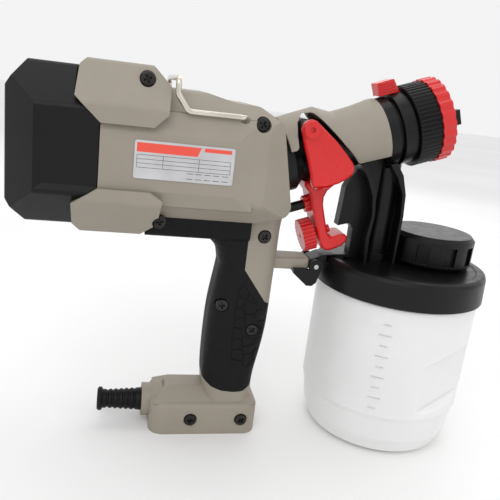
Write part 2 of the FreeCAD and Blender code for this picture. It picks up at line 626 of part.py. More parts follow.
# ------------------------------------------------------------------------------------- spray head
barrel_outer = head_turned("barrel_outer", [
    (-98, 0), (-98, 20), (-97.5, "barrel_r"), (-76.5, "barrel_r"), (-71.5, "barrel_front_r"),
    (-6, "barrel_front_r"),
    (-6, 15), (14, 15), (14, 0)])
barrel_inner = head_turned("barrel_inner", [
    (-100, 0), (-100, 18), (-77, 18), (-72, 13.6), (16, 13.6), (16, 0)])
pivot_boss = cylinder("pivot_boss", 5, 43.4, head("pivot_s", "pivot_n", -21.7), HEAD_Y)
pin_way = box("drive_way", (10, 60, 5), head(-71, -2.5, -30), HEAD)
pivot_way = cylinder("pivot_way", "pivot_r", 80, head("pivot_s", "pivot_n", -40), HEAD_Y)
spring_wall = cut("spring_wall", cylinder("spring_disc", 18.2, 3, head(-88, 0), HEAD_X),
                  cylinder("spring_hole", 2, 6, head(-89, 0), HEAD_X),
                  *[cylinder(f"air_way_{i}", 4, 6, head(-89, round(11.5 * math.sin(i * math.pi / 3), 4),
                                                        round(11.5 * math.cos(i * math.pi / 3), 4)),
                                                        HEAD_X) for i in range(6)])
riser_void = cylinder("riser_void", 4.2, 70, ("riser_x - 0.4", 0, 118), UP)
barrel = fuse("barrel_sum", cut("barrel_tube", fuse("barrel_and_boss", barrel_outer, pivot_boss),
                                barrel_inner), spring_wall)
node("air_barrel", cut("air_barrel", barrel, pin_way, pivot_way, riser_void))

cover_outline = [(-78.7, 22.3), (-78.7, 24.6), (-66, 25.2), (-55.5, 25.5), (-50, 22.6), (-45, 20),
                 (-32, 20.4), (-25, 21.2),
                 (-20.8, 21.8), (-17.4, 21.6), (-17.4, 19.4), (-45, 17.5), (-56, 22.6)]
cover_window = head_prism("cover_window", [
    (-84, 6.2), (-74.2, 6.2), (-72.6, 14), (-70, 20.3), (-65, 24.2), (-58.6, 23.4), (-37, -12.2),
    (-10, -12.2), (-10, -40), (-84, -40)],
    100)
window_soft = rounded("window_soft", cover_window, 2.5,
                      lambda edge: runs("y")(edge) and edge.CenterOfMass.x < -60)
node("head_cover", cut("head_cover", head_turned("cover_turned", cover_outline), window_soft))

# neck: a web between two curved flanges, with the pickup riser in the middle
neck_web = prism("neck_web", "XZ_Plane", [
    (-39.5, 120.5), (-39.5, 140), (-42.5, 143.5), (-49.8, 141.4), (-49, 156), (-48.6, 166), (-46, 172),
    (-41, 181), (-30, 186), (-15, 190), (-11.5, 160), (-11.2, 120.5)], 8)
flange_rear = prism("flange_rear", "XZ_Plane", [
    (-32.6, 120.5), (-33.4, 137), (-32.3, 152), (-34.3, 164), (-39, 174), (-45, 182), (-42.6, 183.6),
    (-36.6, 175),
    (-32.2, 165), (-30.4, 152), (-31.4, 137), (-30.6, 120.5)], 28)
flange_front = prism("flange_front", "XZ_Plane", [
    (-13, 120.5), (-13, 152), (-14.5, 166), (-19.5, 176), (-26, 184), (-23, 187), (-16.2, 178), (-12.3, 166),
    (-11.2, 152), (-11.2, 120.5)], 28)
riser = fuse("riser", cylinder("riser_tube", "riser_r", 64, ("riser_x - 0.4", 0, 120.5), UP),
             cylinder("riser_root", "riser_r + 1.6", 5, ("riser_x - 0.4", 0, 120.5), UP))
neck_sum = fuse("neck_sum", neck_web, flange_rear, flange_front, riser)
neck_clear = cylinder("neck_clear", "barrel_front_r", 90, head(-80, 0), HEAD_X)
neck_rear_clear = cylinder("neck_rear_clear", "barrel_r + 0.2", 20, head(-96, 0), HEAD_X)
neck_ring_clear = cylinder("neck_ring_clear", 23, 60, head(-17.6, 0), HEAD_X)
node("neck", cut("neck", neck_sum, neck_clear, neck_rear_clear, neck_ring_clear, riser_void))

node("trigger_pivots", fuse("trigger_pivots", *[
    cut(f"pivot_{i}", fuse(f"pivot_sum_{i}",
        cylinder(f"pivot_shank_{i}", "pivot_r", 11.5, head("pivot_s", "pivot_n", 14 if side > 0 else -25.5),
                 HEAD_Y),
        cylinder(f"pivot_head_{i}", 4.9, 1.5, head("pivot_s", "pivot_n", 25.6 if side > 0 else -27.1),
                 HEAD_Y),
        cylinder(f"pivot_tip_{i}", "pivot_r", 1, head("pivot_s", "pivot_n", 25 if side > 0 else -26),
                 HEAD_Y)),
        cylinder(f"pivot_key_{i}", 1.5, 2, head("pivot_s", "pivot_n", 25.9 if side > 0 else -27.9), HEAD_Y))
    for i, side in enumerate((-1, 1))]))

# trigger: two cheeks beside the air tube, joined below it by a bridge and a channel-shaped blade
cheek_outline = [(-87.8, 198.4), (-82, 184), (-78.5, 172), (-77.5, 166.5), (-69, 167.6), (-60.7, 171.2),
                 (-55.2, 175.4),
                 (-53.2, 179.6), (-55.6, 184.6), (-66, 194.5), (-78, 203.6)]
cheek_eye = cylinder("cheek_eye", 5.7, "2 * cheek_out", head("pivot_s", "pivot_n", "-cheek_out"), HEAD_Y)
cheeks_plate = prism("cheeks_plate", "XZ_Plane", cheek_outline, "2 * cheek_out")
cheeks_soft = rounded("cheeks_soft", cheeks_plate, 2.6,
                      lambda edge: runs("y")(edge) and edge.CenterOfMass.x > -62)
blade_outline = [(-77.4, 167.2), (-72.8, 161), (-69.7, 151.2), (-62.8, 132.2), (-60.4, 127.4), (-57.3, 125.3),
                 (-51.7, 126.7),
                 (-46.6, 129.6), (-44.1, 132.4), (-43.9, 135.4), (-45.8, 137.2), (-48.4, 137.3),
                 (-54.8, 134.6),
                 (-57.8, 138.6), (-60.8, 148), (-63.7, 156.5), (-63.2, 162.4), (-59, 167), (-61, 171)]
blade = prism("blade", "XZ_Plane", blade_outline, "2 * blade_half")
blade_soft = rounded("blade_soft", blade, 1.6, lambda edge: runs("y")(edge) and edge.CenterOfMass.z < 162)
channel = prism("channel", "XZ_Plane",
                [(-90, 163), (-90, 125), (-63, 125), (-59.4, 133), (-61.5, 138.5), (-67.4, 155),
                 (-67.4, 163)],
                "2 * blade_half - 5")
bridge = head_prism("bridge", [(-69, -21.2), (-69, -17.6), (-56, -17.6), (-54, -21.2)], "2 * cheek_out")
trigger_sum = fuse("trigger_sum", cheeks_soft, cheek_eye, blade_soft, bridge)
barrel_room = cylinder("barrel_room", "barrel_r + 1.5", 60, head(-100, 0), HEAD_X)
between_cheeks = prism("between_cheeks", "XZ_Plane",
                       [(-110, 260), (-110, 150), (-76, 163.4), (-50, 175), (-30, 182), (-30, 260)],
                       "2 * cheek_in")
knob_n = -51.6
trigger = cut("trigger", trigger_sum, between_cheeks, channel,
              cylinder("eye_way", "pivot_r + 0.06", 80, head("pivot_s", "pivot_n", -40), HEAD_Y),
              cylinder("stud_room", 2.56, 16, head(-66, knob_n), HEAD_X))
node("trigger", trigger)

node("flow_knob", fuse("flow_knob", lobed("knob_rim", 9.6, 0.9, 24, 8, -78.4, knob_n, 1.5),
                       cylinder("knob_stud", 2.5, 13, head(-72, knob_n), HEAD_X)))

# needle with its collar, the pin that the trigger pulls, and its spring
node("fluid_needle", fuse("fluid_needle", cylinder("needle_rod", 1.2, 106, head(-86, 0), HEAD_X),
                          cylinder("needle_collar", 3.4, 6, head(-69.5, 0), HEAD_X),
                          cylinder("needle_pin", 1.9, 42, head(-66, 0, -21), HEAD_Y)))
node("needle_spring", cut("needle_spring", cylinder("spring_out", 4.2, 12.8, head(-85, 0), HEAD_X),
                          cylinder("spring_in", 3.2, 20, head(-88, 0), HEAD_X)))
node("fluid_nozzle", head_turned("fluid_nozzle", [
    (-22, 1.7), (-22, 13.5), (-18, 13.5), (-18, 7), (8, 7), (14, 3.2), (21, 2.6), (21, 1.7)]))

# selector: a sleeve with a thumb tab, turned by hand about the head's axis
node("selector_ring", head_turned("selector_ring", [
    (-17.2, 16.3), (-17.2, 21), (-11, 21.3), (-10.6, 19.6), (-8.9, 19.6), (-8.5, 22.3), (-0.6, 22.5),
    (-0.6, 16.3)]))
tab = head_prism("tab_block", [(-14.6, 20.4), (-15, 30), (-3.8, 30.4), (-1, 20.6)], 9)
node("selector_tab", cut("selector_tab", rounded("tab_soft", tab, 0.8, runs("y")),
                         cylinder("tab_seat", 22.5, 30, head(-20, 0), HEAD_X)))


def fluted(name, radius, depth, count, length, s, inner):
    """A ring along the head's axis whose rim is a zigzag of count ribs."""
    corners = []
    for i in range(count):
        for turn_part, r in ((0, radius), (0.3, radius), (0.55, radius - depth), (0.75, radius - depth)):
            angle = 2 * math.pi * (i + turn_part) / count
            corners.append(Vector(0, r * math.cos(angle), r * math.sin(angle)))
    rim = doc.addObject("Part::Feature", name + "_rim")
    rim.Shape = Part.makePolygon(corners + corners[:1])
    place(rim, head(s, 0), HEAD)
    solid = doc.addObject("Part::Extrusion", name + "_rib")
    solid.Base = rim
    solid.DirMode = "Custom"
    solid.Dir = Vector(math.cos(TILT), 0, math.sin(TILT))
    solid.setExpression("LengthFwd", ex(length))
    solid.Solid = True
    return cut(name, solid, cylinder(name + "_bore", inner, f"({length}) + 4", head(f"{s} - 2", 0), HEAD_X))


node("collar_nut", cut("collar_nut", fluted("nut_ribs", dim("nut_r"), 0.7, 60, "nut_long", 0, 15.4),
                       cylinder("nut_recess", 21, 20, head(4, 0), HEAD_X)))
node("pattern_ring", cut("pattern_ring", fluted("ring_ribs", dim("ring_r"), 0.8, 26, 8.2, 13.9, 17),
                         cylinder("ring_recess", 20, 9.9, head(10, 0), HEAD_X)))
horns = [box(f"horn_{i}", (7, 4.6, 9), head(23.5, -4.5, y), HEAD) for i, y in enumerate((-15.5, 10.9))]
node("air_cap", fuse("air_cap", head_turned("air_cap_disc", [
    (17, 4), (17, 19.6), (19.6, 19.6), (19.6, 16.6), (24, 16.6), (24.6, 16), (24.6, 4)]), *horns))

# ------------------------------------------------------------------------------------- lid, latch and cup
lid_outer = turned("lid_outer", [
    (0, "lid_low"), ("lid_r + 0.6", "lid_low"), ("lid_r", "lid_top - 3"), ("lid_r - 0.9", "lid_top - 0.8"),
    ("lid_r - 2.6", "lid_top"), ("lid_r - 6", "lid_top"), ("lid_r - 7", "lid_top - 0.8"),
    (0, "lid_top - 0.8")], "Z_Axis")
lid_inner = cylinder("lid_inner", "cup_neck_r + 0.4", "lid_top - lid_low - 3", (0, 0, "lid_low - 0.1"))
lid_mouth = cylinder("lid_mouth", "cup_r + 0.35", 1.5, (0, 0, "lid_low - 1"))
filler_collar = cylinder("filler_collar", 22.5, 14, ("filler_x", 0, "lid_top - 2"))
filler_port = cylinder("filler_port", 19.5, 30, ("filler_x", 0, "lid_top - 8"))
riser_seat = cylinder("riser_seat", 4.2, 20, ("riser_x - 0.4", 0, "lid_top - 10"))
node("lid", cut("lid", fuse("lid_sum", cut("lid_shell", lid_outer, lid_inner, lid_mouth), filler_collar),
                filler_port, riser_seat))
node("lid_gasket", cut("lid_gasket", cylinder("gasket_out", "cup_neck_r", 1, (0, 0, "cup_top")),
                       cylinder("gasket_in", "cup_neck_r - 4.5", 3, (0, 0, "cup_top - 1"))))
filler_solid = turned("filler_solid", [
    (0, "lid_top + 0.4"), ("filler_r - 1", "lid_top + 0.4"), ("filler_r", "lid_top + 2"),
    ("filler_r", "filler_top - 2.6"),
    ("filler_r - 2.4", "filler_top"), (0, "filler_top")], "Z_Axis", at=("filler_x", 0, 0))
bites = []
bite_count = 10
bite_reach = dim("filler_r") - 2.6
for i in range(bite_count):
    angle = 2 * math.pi * (i + 0.5) / bite_count
    across = bite_reach * math.cos(angle) + 4 * math.sin(angle)
    along = bite_reach * math.sin(angle) - 4 * math.cos(angle)
    bites.append(box(f"bite_{i}", (4, 8, 12), (f"filler_x + {across:.4f}", round(along, 4), "lid_top + 3.4"),
                     Rotation(Vector(0, 0, 1), math.degrees(angle))))
node("filler_cap", cut("filler_cap", filler_solid,
                       cylinder("filler_void", 22.9, 17, ("filler_x", 0, "lid_top")), *bites))
node("pickup_tube", cut("pickup_tube", cylinder("pickup_out", 4, 118, ("riser_x - 0.4", 0, 7)),
                        cylinder("pickup_in", 2.8, 130, ("riser_x - 0.4", 0, 2))))

latch_x, latch_z = -62.8, 115.3
bracket = prism("bracket", "XZ_Plane", [
    (-62.8, 111.3), (-58.5, 113.2), (-56.6, 117), (-54, 120.2), (-39.5, 120.2), (-39.5, 123.6), (-50, 123),
    (-58, 121.8), (-63.6, 119.2), (-66.4, 116)], 14)
bracket_eye = cylinder("bracket_eye", 4, 14, (latch_x, -7, latch_z), ALONG_Y)
node("latch_bracket", cut("latch_bracket", fuse("bracket_sum", bracket, bracket_eye),
                          cylinder("bracket_way", 1.5, 20, (latch_x, -10, latch_z), ALONG_Y),
                          cylinder("bracket_lid", "lid_r + 0.2", 30, (0, 0, "lid_top - 29.7"))))
node("latch_pin", cylinder("latch_pin", 1.5, 25, (latch_x, -12.5, latch_z), ALONG_Y))
latch_arm = prism("latch_arm", "XZ_Plane", [
    (-66.9, 115.3), (-66.4, 112.5), (-69, 106), (-67.2, 102.6), (-64, 102.4), (-61.4, 104.6), (-59.6, 111.5),
    (-58.7, 115.3)], 24)
latch_eye = cylinder("latch_eye", 4.3, 24, (latch_x, -12, latch_z), ALONG_Y)
latch_plate = prism("latch_plate", "XZ_Plane", [
    (-77.4, 113.4), (-77.2, 110.4), (-67.6, 102.5), (-64, 102.4), (-63, 106), (-66, 112.8), (-70.6, 113.6)],
    24)
# room for the guard arm between the latch's two ears, also while the head slides out
latch_gap = prism("latch_gap", "XZ_Plane", [
    (-90, 125), (-90, 102.3), (-77.4, 106.9), (-70, 109.6), (-66.4, 106.6), (-62, 105.4), (-50, 105.4),
    (-50, 125)],
    18.4)
node("latch", cut("latch", fuse("latch_sum", latch_arm, latch_eye, latch_plate), latch_gap,
                  cylinder("latch_way", 1.56, 30, (latch_x, -15, latch_z), ALONG_Y)))


def cup_outline(inset):
    """The cup's profile, moved in by inset."""
    return [(0, inset), ("cup_base_r - " + str(inset), inset),
            (f"cup_base_r + 5.4 - {inset}", 3.4 + inset * 0.6),
            (f"cup_base_r + 9.2 - {inset}", 13), (f"cup_r - 1.4 - {inset}", 27.5), (f"cup_r - {inset}", 31),
            (f"cup_r - {inset}", f"lid_low - 1.2 - {inset} / 2"),
            (f"cup_neck_r - {inset}", f"lid_low - {inset} / 2"),
            (f"cup_neck_r - {inset}", "cup_top" if not inset else "cup_top + 3"),
            (0, "cup_top" if not inset else "cup_top + 3")]


def recess(name, depth, grow):
    """A flat, tilted finger recess on one side of the cup, with sloping ends."""
    facing = Rotation(Vector(0, 0, 1), -66)
    out = facing.multVec(Vector(dim("cup_r") - depth, 0, 0))
    low, high = 15.5 + grow, 26.2 + grow
    return prism(name, "XZ_Plane", [(0, -low), (14, -high), (14, high), (0, low)], 90,
                 at=(out.x, out.y, 56.2),
                 turn=facing * Rotation(Vector(1, 0, 0), 13))


cup_wall = dim("cup_wall")
recess_depth = 4.2
cup_out = cut("cup_out", turned("cup_solid", cup_outline(0), "Z_Axis"), recess("recess_out", recess_depth, 0))
cup_in = cut("cup_in", turned("cup_void", cup_outline(cup_wall), "Z_Axis"),
             recess("recess_in", recess_depth + cup_wall, 0.8 * cup_wall))
node("cup", cut("cup", cup_out, cup_in))

# ------------------------------------------------------------------------------------- check and export
doc.recompute()
bad = [obj.Name for obj in doc.Objects if {"Invalid", "Error"} & set(obj.State)]
for name, obj in NODES.items():
    if obj.Shape.isNull() or not obj.Shape.isValid():
        bad.append(name)
if bad:
    raise SystemExit("failed objects: " + ", ".join(bad))
os.makedirs("parts", exist_ok=True)
for name, obj in NODES.items():
    obj.Shape.exportStep(f"parts/{name}.step")
    print(f"{name:16s} {len(obj.Shape.Solids)} solids {obj.Shape.Volume / 1000:8.2f} cm3")
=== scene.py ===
import json
import math
import random

import bmesh
import bpy
from mathutils import Euler, Matrix, Vector
from mathutils.bvhtree import BVHTree
from mathutils.geometry import tessellate_polygon


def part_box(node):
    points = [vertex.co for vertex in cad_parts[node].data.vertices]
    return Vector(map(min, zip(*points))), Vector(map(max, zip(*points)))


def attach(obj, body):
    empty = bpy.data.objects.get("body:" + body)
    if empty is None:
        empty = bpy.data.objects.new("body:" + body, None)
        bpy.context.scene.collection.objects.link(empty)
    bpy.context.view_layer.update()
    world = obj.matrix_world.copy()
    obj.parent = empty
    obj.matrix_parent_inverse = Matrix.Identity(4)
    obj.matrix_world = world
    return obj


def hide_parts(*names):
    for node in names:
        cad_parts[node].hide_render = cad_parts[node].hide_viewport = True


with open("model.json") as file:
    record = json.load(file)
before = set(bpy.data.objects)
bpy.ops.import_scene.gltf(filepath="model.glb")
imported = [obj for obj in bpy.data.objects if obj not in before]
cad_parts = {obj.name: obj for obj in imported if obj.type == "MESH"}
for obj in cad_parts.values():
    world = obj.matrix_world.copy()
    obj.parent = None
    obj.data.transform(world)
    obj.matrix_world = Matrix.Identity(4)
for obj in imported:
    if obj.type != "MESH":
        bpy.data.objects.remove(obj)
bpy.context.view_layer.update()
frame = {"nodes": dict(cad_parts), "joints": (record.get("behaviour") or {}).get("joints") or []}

# An electric HVLP sprayer.  Everything is in metres in the CAD's frame: the origin is the centre of the cup's
# flat base, +X is where it sprays, +Z is up.

MM = 0.001
NODES = frame["nodes"]
JOINTS = {joint["name"]: joint for joint in frame["joints"]}

# ---------------------------------------------------------------------- places that come from the frame
# the spray head's own coordinates: s along its axis, y across, n up and square to the axis
COLLAR_AT = 7
HEAD_AXIS = Vector(JOINTS["selector_turn"]["axis"]).normalized()
HEAD_UP = Vector((-HEAD_AXIS.z, 0, HEAD_AXIS.x))
HEAD_ORIGIN = Vector(JOINTS["collar_turn"]["pos_m"]) - HEAD_AXIS * COLLAR_AT * MM
HEAD_MATRIX = Matrix((
    (HEAD_AXIS.x, 0, HEAD_UP.x, HEAD_ORIGIN.x),
    (0, 1, 0, HEAD_ORIGIN.y),
    (HEAD_AXIS.z, 0, HEAD_UP.z, HEAD_ORIGIN.z),
    (0, 0, 0, 1)))


# ------------------------------------------------------------------------------ materials
class Nodes:
    """A material's node tree, with short names for the nodes that the materials share."""

    def __init__(self, name):
        self.material = bpy.data.materials.new(name)
        self.material.use_nodes = True
        self.tree = self.material.node_tree
        self.shader = self.tree.nodes["Principled BSDF"]
        self.place = self.tree.nodes.new("ShaderNodeTexCoord").outputs["Object"]

    def add(self, kind, **inputs):
        node = self.tree.nodes.new(kind)
        for key, value in inputs.items():
            self.put(node, key, value)
        return node

    def put(self, node, key, value):
        socket = node.inputs[key.replace("_", " ")]
        if isinstance(value, bpy.types.NodeSocket):
            self.tree.links.new(value, socket)
        else:
            socket.default_value = value

    def noise(self, scale, detail=3, roughness=0.5):
        node = self.add("ShaderNodeTexNoise", Vector=self.place, Scale=scale, Detail=detail,
                        Roughness=roughness)
        return node.outputs["Fac"]

    def ramp(self, value, low, high, low_at=0.35, high_at=0.65):
        node = self.add("ShaderNodeValToRGB", Fac=value)
        first, last = node.color_ramp.elements
        first.position, first.color = low_at, low
        last.position, last.color = high_at, high
        return node.outputs["Color"]

    def level(self, value, low, high):
        node = self.add("ShaderNodeMapRange", Value=value, To_Min=low, To_Max=high)
        node.inputs["From Min"].default_value = 0.3
        node.inputs["From Max"].default_value = 0.7
        return node.outputs["Result"]

    def bump(self, height, distance, strength=1.0, normal=None):
        node = self.add("ShaderNodeBump", Height=height, Distance=distance, Strength=strength)
        if normal is not None:
            self.put(node, "Normal", normal)
        return node.outputs["Normal"]

    def soft_edge(self, radius):
        return self.add("ShaderNodeBevel", Radius=radius).outputs["Normal"]


def srgb(red, green, blue):
    """A linear colour from 0 to 255 display values."""
    parts = [c / 255 for c in (red, green, blue)]
    return tuple(c / 12.92 if c <= 0.04045 else ((c + 0.055) / 1.055) ** 2.4 for c in parts) + (1.0,)


def shade(color, factor):
    return tuple(c * factor for c in color[:3]) + (1.0,)


def moulded(name, color, roughness, grain=1400, depth=0.03, edge=0.35, coat=0.0, specular=0.5, mottle=0.06):
    """Moulded plastic or rubber: fine grain, faint colour drift, uneven gloss and softened edges."""
    nodes = Nodes(name)
    drift = nodes.noise(38, 4)
    nodes.put(nodes.shader, "Base Color",
              nodes.ramp(drift, shade(color, 1 - mottle), shade(color, 1 + mottle)))
    nodes.put(nodes.shader, "Roughness",
              nodes.level(nodes.noise(160, 5, 0.65), roughness - 0.05, roughness + 0.07))
    nodes.put(nodes.shader, "Specular_IOR_Level", specular)
    nodes.put(nodes.shader, "Coat_Weight", coat)
    nodes.put(nodes.shader, "Coat_Roughness", 0.12)
    normal = nodes.soft_edge(edge * MM) if edge else None
    nodes.put(nodes.shader, "Normal", nodes.bump(nodes.noise(grain, 2), depth * MM, 1.0, normal))
    return nodes.material


def metal(name, color, roughness, stretch=(1, 1, 1), edge=0.2, depth=0.01):
    """Bare metal with fine marks drawn out along one axis."""
    nodes = Nodes(name)
    mapping = nodes.add("ShaderNodeMapping", Vector=nodes.place)
    mapping.inputs["Scale"].default_value = stretch
    marks = nodes.add("ShaderNodeTexNoise", Vector=mapping.outputs["Vector"], Scale=700.0, Detail=4.0)
    nodes.put(nodes.shader, "Metallic", 1.0)
    nodes.put(nodes.shader, "Base Color",
              nodes.ramp(nodes.noise(55, 4), shade(color, 0.88), shade(color, 1.06)))
    nodes.put(nodes.shader, "Roughness", nodes.level(marks.outputs["Fac"], roughness - 0.06, roughness + 0.1))
    nodes.put(nodes.shader, "Normal",
              nodes.bump(marks.outputs["Fac"], depth * MM, 1.0, nodes.soft_edge(edge * MM)))
    return nodes.material


def milky(name, color, roughness=0.34):
    """Blow-moulded polyethylene: light passes a little way into it."""
    nodes = Nodes(name)
    nodes.put(nodes.shader, "Base Color", nodes.ramp(nodes.noise(24, 3), shade(color, 0.965), color))
    nodes.put(nodes.shader, "Roughness", nodes.level(nodes.noise(120, 4), roughness - 0.04, roughness + 0.06))
    nodes.put(nodes.shader, "Subsurface_Weight", 0.6)
    nodes.put(nodes.shader, "Subsurface_Radius", (1.0, 0.95, 0.9))
    nodes.put(nodes.shader, "Subsurface_Scale", 0.006)
    nodes.put(nodes.shader, "Normal",
              nodes.bump(nodes.noise(90, 3), 0.12 * MM, 0.5, nodes.soft_edge(0.8 * MM)))
    return nodes.material


BEIGE = moulded("beige_plastic", srgb(146, 138, 126), 0.5, grain=2400, depth=0.035, edge=0.5, mottle=0.03)
BLACK = moulded("black_plastic", srgb(11, 11, 12), 0.34, grain=1900, depth=0.02, edge=0.4, specular=0.26)
BLACK_CAP = moulded("black_cap_plastic", srgb(10, 10, 11), 0.38, grain=1900, depth=0.03, edge=0.6,
                    specular=0.24)
RUBBER = moulded("grip_rubber", srgb(12, 12, 13), 0.6, grain=2600, depth=0.03, edge=0.5, specular=0.2)
BOOT = moulded("boot_rubber", srgb(11, 11, 12), 0.5, grain=1500, depth=0.03, edge=0.3, specular=0.22)
RED = moulded("red_plastic", srgb(206, 22, 24), 0.3, grain=700, depth=0.012, edge=0.35, coat=0.12,
              mottle=0.04)
PRINT_RED = moulded("red_print", srgb(226, 78, 62), 0.4, grain=1200, depth=0.004, edge=0)
PRINT_BLACK = moulded("black_print", srgb(48, 48, 50), 0.45, grain=1200, depth=0.004, edge=0)
INNER = moulded("inner_plastic", srgb(40, 40, 42), 0.6)
MILK = milky("milky_cup", srgb(240, 240, 238))
GASKET = moulded("gasket_rubber", srgb(60, 60, 60), 0.7)
CARBON = moulded("carbon", srgb(40, 40, 42), 0.55, grain=3000)
FOAM = moulded("filter_foam", srgb(52, 52, 55), 0.95, grain=900, depth=0.5, edge=0, specular=0.1)
STEEL = metal("ground_steel", srgb(190, 190, 190), 0.3)
WIRE = metal("plated_wire", srgb(214, 208, 196), 0.16, depth=0.003)
BLACKED = metal("blackened_steel", srgb(58, 57, 56), 0.42)
IRON = metal("laminated_iron", srgb(96, 92, 90), 0.5, stretch=(6, 1, 1))
COPPER = metal("copper", srgb(184, 115, 76), 0.3)
BRASS = metal("brass", srgb(196, 160, 92), 0.28)
FOIL = metal("plate_foil", srgb(205, 205, 207), 0.38, stretch=(1, 1, 14), depth=0.004)

MATERIALS = {
    BEIGE: ["housing_right", "housing_left", "head_cover"],
    BLACK_CAP: ["rear_cap"],
    RUBBER: ["grip_right", "grip_left"],
    BOOT: ["cord_boot"],
    BLACK: ["air_barrel", "neck", "selector_ring", "collar_nut", "air_cap", "latch_bracket", "latch", "lid",
            "filler_cap", "switch_plunger"],
    RED: ["trigger", "trigger_pivots", "flow_knob", "plunger_nut", "selector_tab", "pattern_ring"],
    MILK: ["cup", "pickup_tube"],
    GASKET: ["lid_gasket"],
    FOIL: ["nameplate"],
    BLACKED: ["shell_screws"],
    WIRE: ["hanging_hook"],
    STEEL: ["latch_pin", "armature_shaft", "needle_spring", "fluid_needle", "front_bearing", "rear_bearing"],
    BRASS: ["fluid_nozzle"],
    IRON: ["stator", "armature_core"],
    COPPER: ["commutator", "brush_holders"],
    CARBON: ["carbon_brushes"],
    INNER: ["front_bracket", "rear_bracket", "fan_shroud", "turbine_wheel", "power_switch", "cord_clamp"],
    FOAM: ["air_filter"],
}
for material, names in MATERIALS.items():
    for name in names:
        NODES[name].data.materials.clear()
        NODES[name].data.materials.append(material)

# ------------------------------------------------------------------------------ shapes
def inset(outline, amount):
    """A convex outline, counter-clockwise, moved inwards on every side."""
    moved = []
    for before, corner, after in zip(outline[-1:] + outline[:-1], outline, outline[1:] + outline[:1]):
        first = (corner - before).normalized()
        second = (after - corner).normalized()
        inward = Vector((-first.y - second.y, first.x + second.x))
        moved.append(corner + inward * (amount / (1 + first.dot(second))))
    return moved


def circle(radius, count=40):
    return [Vector((radius * math.cos(2 * math.pi * i / count), radius * math.sin(2 * math.pi * i / count)))
            for i in range(count)]


class Piece:
    """Points in millimetres and faces of one piece, gathered from several shapes."""

    def __init__(self):
        self.points = []
        self.faces = []

    def rings(self, rings, first_end=True, last_end=True):
        """Joins rings of equally many points, and fills the ends that are asked for."""
        start = len(self.points)
        count = len(rings[0])
        for ring in rings:
            self.points += ring
        for level in range(len(rings) - 1):
            low = start + level * count
            for i in range(count):
                j = (i + 1) % count
                self.faces.append((low + i, low + j, low + count + j, low + count + i))
        if first_end:
            self.faces.append(tuple(start + i for i in reversed(range(count))))
        if last_end:
            top = start + (len(rings) - 1) * count
            self.faces.append(tuple(top + i for i in range(count)))

    def plate(self, spot, outline, height, chamfer, sunk=0.3):
        """A plate on a surface: spot(u, v, h) gives the place h above the surface's point u, v."""
        top = inset(outline, chamfer)
        levels = ((outline, -sunk), (outline, height - chamfer), (top, height))
        self.rings([[spot(point.x, point.y, level) for point in shape] for shape, level in levels])

    def between(self, spot, outer, hole, level):
        """The flat face between an outline and a hole in it."""
        start = len(self.points)
        loops = [[spot(point.x, point.y, level) for point in shape] for shape in (outer, hole)]
        self.points += loops[0] + loops[1]
        self.faces += [tuple(start + i for i in corners) for corners in tessellate_polygon(loops)]

    def finish(self, name, material, body):
        """Makes the object, in metres, with smooth faces and sharp corners, and lets it ride on its body."""
        mesh = bpy.data.meshes.new(name)
        mesh.from_pydata([point * MM for point in self.points], [], self.faces)
        shape = bmesh.new()
        shape.from_mesh(mesh)
        bmesh.ops.remove_doubles(shape, verts=shape.verts, dist=0.002 * MM)
        bmesh.ops.recalc_face_normals(shape, faces=shape.faces)
        shape.to_mesh(mesh)
        shape.free()
        mesh.shade_smooth()
        mesh.set_sharp_from_angle(angle=math.radians(32))
        mesh.materials.append(material)
        obj = bpy.data.objects.new(name, mesh)
        bpy.context.scene.collection.objects.link(obj)
        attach(obj, body)
        return obj


def rectangle(left, low, right, high):
    return [Vector((left, low)), Vector((right, low)), Vector((right, high)), Vector((left, high))]


def along_head(s, y, n):
    """A place in millimetres from the head's own coordinates."""
    return (HEAD_MATRIX @ Vector((s * MM, y * MM, n * MM))) / MM


def surface(node):
    """The outer skin of a CAD node, for finding where a line meets it."""
    obj = NODES[node]
    return BVHTree.FromPolygons([obj.matrix_world @ vertex.co for vertex in obj.data.vertices],
                                [tuple(face.vertices) for face in obj.data.polygons])


# ------------------------------------------------------------------------------ shell screws
# x, z and half width of the housing at each screw
SCREWS = [(-175.5, 217, 31), (-113, 200.5, 33), (-163.8, 141.5, 27), (-99.9, 134, 16.5),
          (-121, 88.5, 15.5), (-100.4, 73, 16), (-134, 10.6, 19.5), (-101, 10.6, 19.5)]


def cross(arm, half, turn):
    """The outline of a cross recess, turned by an angle."""
    outline = []
    for quarter in range(4):
        for u, v in ((arm, -half), (arm, half), (half, half)):
            angle = turn + quarter * math.pi / 2
            outline.append(Vector((u * math.cos(angle) - v * math.sin(angle),
                                   u * math.sin(angle) + v * math.cos(angle))))
    return outline


def screws():
    """A domed head with a cross recess for each shell screw, turned as screws end up."""
    head_height = 1.4
    flat = 3.1
    piece = Piece()
    for i, (x, z, half) in enumerate(SCREWS):
        def spot(u, v, h):
            return Vector((x + u, -half - head_height - h, z + v))

        levels = ((3.8, -2.3), (3.8, -0.6), (3.6, -0.2), (flat, 0))
        piece.rings([[spot(p.x, p.y, h) for p in circle(radius)] for radius, h in levels], last_end=False)
        turn = 0.4 + 0.7 * i
        piece.between(spot, circle(flat), cross(2.1, 0.5, turn), 0)
        walls = ((cross(2.1, 0.5, turn), 0), (cross(1.5, 0.35, turn), -1.5))
        piece.rings([[spot(p.x, p.y, h) for p in shape] for shape, h in walls], first_end=False)
    obj = piece.finish("screw_heads", BLACKED, "motor_unit")
    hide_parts("shell_screws")


